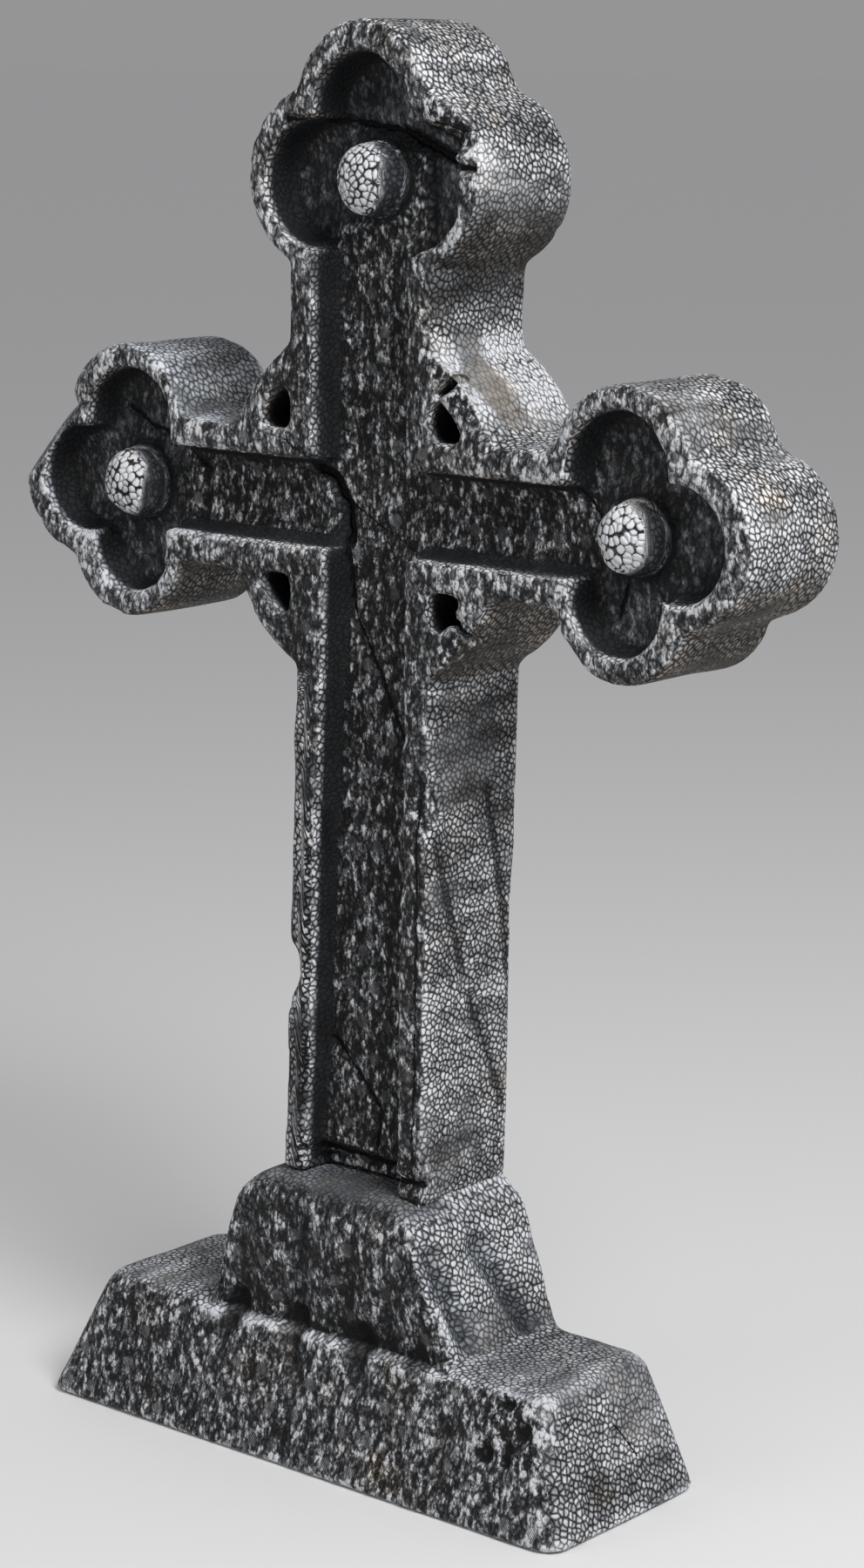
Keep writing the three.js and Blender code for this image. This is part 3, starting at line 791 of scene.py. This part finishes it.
# Slow unevenness, upright runs on the front, streaks on the shaft's side, chips where the noise is
# high along an edge, and crumbly breaks. The trefoil's floor at the head lies behind the shaft's.
normal = outward(points, faces)
x, y, z = points.T
depth = y - FRONT_Y
field = field_distance(x, z)
front_face = step_between(-normal[:, 1], *FORWARD)
right_side = step_between(normal[:, 0], 0.6, 0.9) * step_between(z, 530, 500)
streaks = np.maximum.reduce([ridge_line(y, z, line, 3.6) for line in SIDE_STREAKS]) * right_side
seated = step_between(z, PLINTH_TOP + 2, PLINTH_TOP + 14)
ridge = ridges_and_hollows(points, edges, faces)[0]
broken = near_any(points, BROKEN_SPOTS) * (1 - pocket)
cut = CROSS_WEAR["wave"] * drift(points, 75, seed=5)
cut += CROSS_WEAR["ripple"] * drift(points, 24, seed=6)
cut += front_face * (0.3 + CROSS_WEAR["run"] * drift(points, (9, 30, 70), seed=7))
chips = np.clip(ridge, 0, 1) * step_between(drift(points, (12, 15, 12), seed=8), 0.1, 0.7)
cut += chips * CROSS_WEAR["chip"]
dents = front_face * step_between(drift(points, (8, 30, 12), seed=9), 0.35, 0.9)
cut += dents * CROSS_WEAR["dent"]
crumbs = 0.6 + CROSS_WEAR["crumb"] * drift(points, 5.5, seed=10)
cut += broken * (crumbs + CROSS_WEAR["lump"] * drift(points, 11, seed=11))
cut += streaks * CROSS_WEAR["streak"]
points = points - normal * (cut * seated * (1 - 0.85 * pocket))[:, None]
sunk = step_between(field, 1, -2) * step_between(depth, 8, 14) * step_between(y, 30, 20)
band_top = np.where(x > 0, 852.0, 806.0)
off_band = np.maximum(step_between(np.abs(x), 36, 38.5), step_between(z, band_top, band_top + 2.5))
points[:, 1] += sunk * off_band * step_between(z, 780, 783) * HEAD_SUNK_MORE

# Cracks are cut into what faces forward
normal = outward(points, faces)
x, y, z = points.T
facing = step_between(-normal[:, 1], 0.1, 0.4) * step_between(y, 15, 5)
crack_a = crack_values(x, z, facing, CRACKS_A)
crack_b = crack_values(x, z, facing, CRACKS_B)
for values, deep in zip((crack_a, crack_b), DITCH_DEPTHS):
    reach = 1.6 + 1.5 * values[:, 2]
    ditch = np.clip(1 - np.abs(values[:, 0]) * 1000 / reach, 0, 1)
    points[:, 1] += ditch * values[:, 1] * deep * values[:, 2]

# What the paint needs to know: where it lies thick or thin, and what the skin is like there
normal = outward(points, faces)
x, y, z = points.T
depth = y - FRONT_Y
field = field_distance(x, z)
ridge, hollow = ridges_and_hollows(points, edges, faces)
boss_radius = np.minimum.reduce([
    np.hypot(x - ARM_X, z - ARM_Z), np.hypot(x + ARM_X, z - ARM_Z), np.hypot(x, z - HEAD_Z),
])
knob = step_between(boss_radius, 29, 26) * step_between(depth, 22, 16)
in_front = step_between(y, 50, 42) * step_between(normal[:, 1], 0.7, 0.4)
sunk = step_between(field, 3, -1) * step_between(depth, 4, 9) * (1 - knob) * in_front
in_pocket = pocket * step_between(depth, 5, 12) * in_front
wall = np.maximum(sunk * step_between(-normal[:, 1], 0.93, 0.7), in_pocket)
# A boss is pale where it turns to the front, left and top and dark on its right: dark paint and
# painted shade
cap_lean = -0.85 * normal[:, 1] - 0.42 * normal[:, 0] + 0.12 * normal[:, 2]
shaded_knob_side = knob * step_between(cap_lean, 0.34, 0.06)
bed = sunk * (1 - wall)
in_lobes = np.maximum(step_between(np.abs(x), 165, 180), step_between(z, 795, 805) * off_band)
lobe_bed = bed * in_lobes
rim = step_between(-normal[:, 1], *FORWARD) * (1 - sunk) * (1 - knob)
upper = step_between(normal[:, 2], 0.05, 0.7) * (1 - sunk) * (1 - rim)
under = step_between(-normal[:, 2], 0.15, 0.7) * (1 - sunk) * (1 - rim) * (1 - knob)
side = (1 - sunk) * (1 - rim) * (1 - knob)
parts = (rim, bed, side, upper, under)
rim, bed, side, upper, under = (share * (1 - in_pocket) for share in parts)
runs = drift(points, (9, 30, 70), seed=7)

# How pale the paint is. Faces turned up get a painted highlight and faces turned down painted shade.
# The rim is paler on the arms and darker down the shaft, the outer sides are darker at the head's
# top and carry a painted shadow under its lobes, and the brush left thick crust in places.
load = (PALENESS["rim"] + 0.09 * drift(points, 26, seed=27)) * rim
# Faces turned up get a painted highlight, faces turned down painted shade
load += PALENESS["side"] * side + 0.09 * upper - 0.22 * under
load += (PALENESS["field"] + 0.07 * drift(points, 22, seed=28) - 0.10 * runs) * bed
load += 0.01 * lobe_bed
load += 0.08 * rim * step_between(np.abs(z - ARM_Z), 92, 76) * step_between(np.abs(x), 60, 80)
load += 0.06 * rim * step_between(z, ARM_Z + 20, ARM_Z + 28) * step_between(np.abs(x), 60, 75)
load -= 0.07 * rim * step_between(z, 560, 530)
load += side * 0.03 * step_between(x, 165, 190)
load -= side * 0.10 * step_between(z, HEAD_Z + 10, HEAD_Z + 40)
load -= 0.06 * side * step_between(x, 165, 190) * step_between(z, ARM_Z + 30, ARM_Z + 45)
load += 0.05 * side * bell(z - HEAD_Z, 30)
# Painted shadow on the outer sides of the necks just under the lobes
lobe_shadow = side * step_between(z, 752, 768) * step_between(z, 796, 786)
lobe_shadow *= step_between(np.abs(x), 72, 62)
load -= 0.17 * lobe_shadow
crust = near_any(points, CRUSTS) * (1 - sunk)
load += 0.16 * crust * step_between(drift(points, 12, seed=32), -0.6, 0.2)
field_wall = wall * (1 - in_pocket)
# Walls of the sunk field are dark; where they turn upwards they get a painted highlight
load += (PALENESS["wall"] + 0.16 * step_between(normal[:, 2], 0.3, 0.8)) * field_wall
load += 0.06 * in_pocket
cap = 1 - shaded_knob_side
head_knob = knob * step_between(z, 750, 780)
load += knob * (PALENESS["boss"] * cap + PALENESS["boss side"] * shaded_knob_side)
load -= 0.08 * head_knob * cap

# How much of the beads shows, where the skin is smooth or melted, and where the cast is warm:
# brown dirt, and painted warm bounce light on the undersides
contrast = BEADS_SHOW["rim"] * rim + BEADS_SHOW["side"] * side * (1 - 0.2 * under)
contrast += bed * (BEADS_SHOW["field"] - 0.66 * lobe_bed)
contrast += BEADS_SHOW["wall"] * field_wall + 0.08 * in_pocket - 0.22 * lobe_shadow
contrast += knob * (BEADS_SHOW["boss"] * cap + BEADS_SHOW["boss side"] * shaded_knob_side)
contrast += 0.35 * head_knob * cap
smooth = np.maximum.reduce([wall * 0.8, shaded_knob_side * 0.9, under * 0.2, lobe_bed * 0.4])
melt = np.clip(rim + bed + broken, 0, 1) * (1 - in_pocket)
# Undersides take a warm cast as painted bounce light; the brown spots on top at the right are dirt
warmth = under * 0.75 + 0.25 * upper * step_between(np.abs(y - 8), 26, 10) * (x > 0)

# Pale chipped edges, painted shade in the hollows, brush bands that run from front to back, drips
# over the ring
ridge *= 1 - in_pocket * step_between(depth, 8, 12)
chipped = 0.10 + 0.32 * step_between(drift(points, 9, seed=21), -0.3, 0.5)
load += ridge * chipped * (1 - 0.6 * under) * (1 - 0.5 * broken)
load += 0.22 * rim * bell(field - 1.5, 1.6) * step_between(x, 20, 30) * step_between(z, 600, 590)
# Broad hollows are darkened as painted shade
load -= hollow * (0.22 - 0.08 * side) * (1 - pocket)
brushed = side * step_between(normal[:, 2], -0.2, 0.1) * step_between(x, -90, -110)
smooth = np.maximum(smooth, np.maximum(0.55 * hollow * side, 0.45 * brushed))
contrast *= (1 - 0.4 * hollow * side) * (1 - 0.3 * brushed)
load += brushed * 0.10 * drift(points, (60, 90, 7), seed=34)
load += side * (1 - under) * 0.08 * drift(points, (13, 70, 13), seed=22)
load -= 0.10 * broken * side
contrast += 0.55 * broken * (1 - sunk)
# The shaft's right side is darker just under the ring, a painted shadow of the ring, and a little
# paler lower down
load += right_side * side * (0.08 * step_between(z, 450, 390) - 0.05) - 0.30 * streaks
ring_top = side * step_between(ring_radius, 135, 122) * step_between(x, 30, 50)
ring_top *= step_between(z, ARM_Z + 52, ARM_Z + 70)
drip = ring_top * step_between(np.abs(y + 5 + 5 * drift(points, 16, seed=23)), 18, 9)
load += 0.27 * ring_top - 0.31 * drip
contrast *= 1 - 0.7 * drip
smooth = np.maximum(smooth, 0.6 * drip)
warmth += 0.5 * drip
left_rim = rim * step_between(z, 530, 500) * step_between(x, -38, -41)
across_rim = x - shaft_edges(z)[0]
melt = melt * (1 - left_rim * 0.9)
bead_row = left_rim * step_between(across_rim, 14, 11)
load += 0.24 * bead_row - 0.14 * (left_rim - bead_row)
contrast *= 1 - 0.4 * bead_row

put_back(cross, points, "cross")
keep(cross, "paint", [load, contrast, np.clip(warmth, 0, 1)])
big_beads = np.maximum(knob * cap - 0.45 * head_knob, 0.3 * bead_row)
keep(cross, "skin", [melt, smooth, np.clip(big_beads, 0, 1)])
keep(cross, "facing", spread_out(normal, edges, 8))
keep(cross, "crack_a", crack_a)
keep(cross, "crack_b", crack_b)
cross.data.materials.append(painted_foam("painted_foam_cross", CROSS_GREY, CROSS_PALE))
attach(cross, "root")
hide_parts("cross")

# The plinth: one foam body with two battered steps that run into each other in a soft hollow. Runs
# have dug upright grooves down its front, and the near front corner is broken and pitted.
PLINTH_VOXEL = 0.0025
LOWER_TOP = 91.0
PLINTH_X = -21.5
# Upright grooves on the front in the front view: their line, their half width and their depth
FRONT_GROOVES = [
    ([(-74, 160), (-80, 140), (-79, 122), (-86, 96)], 8.0, 3.0),
    ([(-30, 164), (-28, 146), (-33, 126), (-34, 94)], 8.5, 3.6),
    ([(13, 156), (15, 138), (10, 118), (11, 92)], 7.5, 3.0),
    ([(43, 128), (46, 108), (44, 86)], 8.0, 2.6),
    ([(-86, 100), (-88, 82), (-95, 70)], 7.5, 5.5),
    ([(-35, 100), (-34, 82), (-30, 70)], 8.0, 6.0),
    ([(22, 98), (24, 80), (26, 70)], 8.5, 6.0),
    ([(-103, 70), (-109, 16)], 4.0, 1.6),
    ([(-26, 66), (-28, 4)], 4.5, 2.0),
    ([(58, 76), (60, 34)], 4.0, 1.8),
    ([(101, 62), (101, 20)], 5.0, 2.4),
]
# Soft hollows on the right side of the upper step, by depth and height
SIDE_HOLLOWS = [
    ([(-43, 158), (-38, 134), (-28, 104)], 9.0, 6.0),
    ([(2, 154), (17, 128), (32, 98)], 9.5, 6.5),
]
# The upper step springs from a narrow ledge in front
LEDGE = 7.5
# Depths of the wear in mm, as for the cross, and of the pools
PLINTH_WEAR = {
    "wave": 1.0, "ripple": 0.7, "run": 1.2, "chip": 3.0, "crumb": 0.7, "lump": 1.2, "pool": 1.6,
}
# Pools of dark paint where the grooves end on the ledge, by place and radius
POOLS = [((-88, -60, 91), 15), ((-36, -60, 91), 15), ((20, -60, 91), 17), ((70, -58, 91), 12)]
# A crack in the right end, by its width, and by depth and height
END_CRACK = [(1.0, [(4, 60), (12, 50), (21, 36)])]
# Pits at the near front corner, by place and radius
PITS = [
    ((164, -64, 70), 8.5), ((154, -67, 57), 5.5), ((153, -69, 49), 5.5), ((137, -69, 50), 7.5),
    ((148, -62, 84), 6),
]
# Thick pale crust along the broken corner, by place and radius
CORNER_CRUSTS = [
    ((122, -68, 55), 14), ((177, -54, 85), 16), ((174, -62, 68), 13), ((170, -68, 42), 13),
    ((178, -74, 12), 15), ((110, -62, 84), 13), ((140, -60, 90), 11), ((158, -58, 90), 10),
]
# Brown dirt, by place and radius
STAINS = [((61, -78, 20), 22), ((193, -20, 24), 19), ((-60, -78, 60), 18), ((40, -74, 84), 14)]
# The dark fillet of paint and glue round the shaft's foot: how far it rises and reaches
FILLET_RISE = 4.2
FILLET_REACH = 3.2
PLINTH_PALENESS = {"front": 0.54, "side": 0.74}
PLINTH_BEADS_SHOW = {"front": 1.25, "side": 0.50}
PLINTH_GREY = (0.098, 0.0988, 0.1015)
PLINTH_PALE = (0.63, 0.634, 0.648)

# Creases fill up, most of all away from the front, and the upper step's corners are rounded
plinth = foam_copy("stepped_plinth", "plinth", PLINTH_VOXEL)
points, edges, faces = read_mesh(plinth)
fill = step_between(points[:, 2], 30, 50) * (0.9 - 0.7 * step_between(points[:, 1], -50, -58))
points = soften(points, edges, faces, 45, fill, 0.0)
corners = step_between(np.abs(points[:, 1]), 46, 56)
corners *= step_between(np.abs(points[:, 0] - PLINTH_X), 80, 88)
points = soften(points, edges, faces, 14, 0.3, 0.5 * corners * step_between(points[:, 2], 4, 12))
wear = 0.12 + 0.4 * (0.5 + 0.5 * drift(points, 40, seed=13))
points = soften(points, edges, faces, WEAR_ROUNDS, 0.1, wear)

# Wear as on the cross, with grooves, hollows, pits, pools and the ledge
normal = outward(points, faces)
x, y, z = points.T
grounded = step_between(z, 1, 8)
front_face = step_between(-normal[:, 1], *FORWARD)
forward = step_between(-normal[:, 1] + 0.5 * normal[:, 2], 0.2, 0.6) * (y < 0)
ridge = ridges_and_hollows(points, edges, faces)[0]
broken = near(points, (162, -70, 74), 38)
grooves = deepest(x, z, FRONT_GROOVES)
dents = deepest(y, z, SIDE_HOLLOWS)
dents *= step_between(normal[:, 0], 0.3, 0.7) * step_between(x, 140, 120)
pits = np.zeros(len(points))
pit_shade = np.zeros(len(points))
for spot, radius in PITS:
    away = np.linalg.norm(points - np.array(spot, float), axis=1)
    pits = np.maximum(pits, step_between(away, radius * 1.4, radius * 0.3) * radius * 0.6)
    pit_shade = np.maximum(pit_shade, step_between(away, radius * 1.1, radius * 0.5))
cut = PLINTH_WEAR["wave"] * drift(points, 80, seed=15)
cut += PLINTH_WEAR["ripple"] * drift(points, 26, seed=16)
cut += front_face * (0.3 + PLINTH_WEAR["run"] * drift(points, (10, 40, 60), seed=17))
chips = ridge * step_between(drift(points, (12, 14, 12), seed=18), 0.0, 0.7)
cut += chips * PLINTH_WEAR["chip"]
cut += grooves * forward + dents
above_ledge = forward * step_between(z, 86.5, 91) * step_between(np.abs(x + 11), 112, 100)
cut += LEDGE * above_ledge * step_between(z, 150, 95)
crumbs = 0.6 + PLINTH_WEAR["crumb"] * drift(points, 6, seed=19)
cut += broken * (crumbs + PLINTH_WEAR["lump"] * drift(points, 12, seed=20))
pools = near_any(points, POOLS)
cut += PLINTH_WEAR["pool"] * pools * forward
foot_of_step = above_ledge * step_between(z, 112, 96)
cut += foot_of_step * PLINTH_WEAR["lump"] * drift(points, (8, 8, 6), seed=31)

# Paint and glue make a soft fillet round the sides and back of the shaft's foot
foot_left, foot_right = shaft_edges(PLINTH_TOP)
outside = np.maximum(
    np.maximum(foot_left + 3 - x, x - foot_right + 3), np.maximum(FRONT_Y + 3 - y, y - 53)
)
outside = np.maximum(outside, 0) - 3
on_top = step_between(normal[:, 2], 0.2, 0.6) * step_between(z, 150, 165)
fillet = on_top * np.exp(-np.maximum(outside, 0) / FILLET_REACH)
fillet *= step_between(outside, -2.5, -0.8)
fillet *= step_between(y, FRONT_Y + 14, FRONT_Y + 26)
cut *= 1 - on_top * step_between(outside, 10, 2)
points = points - normal * (cut * grounded + pits)[:, None]
points[:, 2] += fillet * FILLET_RISE

# Its paint: paler edges and ends, dark runs and pools, painted shade in the hollows, in the pits and
# above the ledge, a painted highlight on the lower step's top, crust at the broken corner
normal = outward(points, faces)
x, y, z = points.T
front_face = step_between(-normal[:, 1], *FORWARD)
upper = step_between(normal[:, 2], 0.3, 0.9)
side = 1 - front_face
ridge, hollow = ridges_and_hollows(points, edges, faces)
edge_run = step_between(drift(points, 10, seed=24), -0.5, 0.4)
load = (PLINTH_PALENESS["front"] - 0.03 * step_between(z, 90, 100)) * front_face
load += PLINTH_PALENESS["side"] * side
load += ridge * (0.18 + 0.36 * edge_run) * (1 - 0.7 * broken)
# Broad hollows are darkened as painted shade
load -= hollow * (0.08 + 0.12 * front_face)
# The pits are darkened as painted shade
load += side * 0.07 * drift(points, 38, seed=25) - 0.04 * broken - 0.6 * pit_shade
load += 0.06 * side * (1 - upper) * step_between(z, LOWER_TOP + 8, LOWER_TOP + 30)
# The lower step's top, turned upwards, gets a painted highlight
load += 0.04 * upper * step_between(z, 110, 95)
deep_groove = np.clip(grooves / 3.6, 0, 1) * forward
side_hollow = np.clip(dents / 5, 0, 1)
load -= (0.16 + 0.12 * drift(points, (9, 9, 16), seed=30)) * deep_groove + 0.24 * side_hollow
# Painted shade along the foot of the upper step, just above the ledge
load -= 0.20 * above_ledge * step_between(z, 89, 92) * step_between(z, 110, 96)
edge_strip = bell(z - 86, 2.6) * front_face * step_between(np.abs(x + 11), 116, 100)
load += 0.30 * edge_strip * edge_run
crust = near_any(points, CORNER_CRUSTS) * step_between(drift(points, 7, seed=33), -0.4, 0.3)
load += 0.26 * crust
load -= 0.28 * pools
contrast = PLINTH_BEADS_SHOW["front"] * front_face + 0.4 * broken
contrast += PLINTH_BEADS_SHOW["side"] * side * (1 - 0.3 * upper)
contrast *= (1 - 0.3 * deep_groove) * (1 - 0.5 * pools)
painted_over = np.maximum.reduce([
    near(points, (-2, -62, 186), 74) * upper,
    near(points, (136, -24, 91), 44) * upper * 0.4,
    step_between(z, 176, 184) * step_between(y, 0, -20) * upper,
])
load -= 0.20 * painted_over
contrast *= 1 - 0.55 * painted_over
smooth = np.clip(0.5 * painted_over + 0.7 * side_hollow + 0.15 * upper + 0.25 * deep_groove, 0, 1)
stain = near_any(points, STAINS) * step_between(drift(points, (9, 9, 30), seed=26), -0.6, 0.3)
load -= 0.13 * stain
warmth = np.clip(0.7 * stain + 0.35 * deep_groove + 0.2 * painted_over, 0, 1)
melt = np.clip(front_face + broken, 0, 1)
end_face = step_between(normal[:, 0], 0.5, 0.8) * step_between(x, 150, 165)

put_back(plinth, points, "plinth")
keep(plinth, "paint", [load, contrast, warmth])
keep(plinth, "skin", [melt, smooth, np.zeros(len(points))])
keep(plinth, "facing", spread_out(normal, edges, 4))
keep(plinth, "crack_a", crack_values(y, z, end_face, []))
keep(plinth, "crack_b", crack_values(y, z, end_face, END_CRACK))
plinth.data.materials.append(painted_foam("painted_foam_plinth", PLINTH_GREY, PLINTH_PALE))
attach(plinth, "root")
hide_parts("plinth")
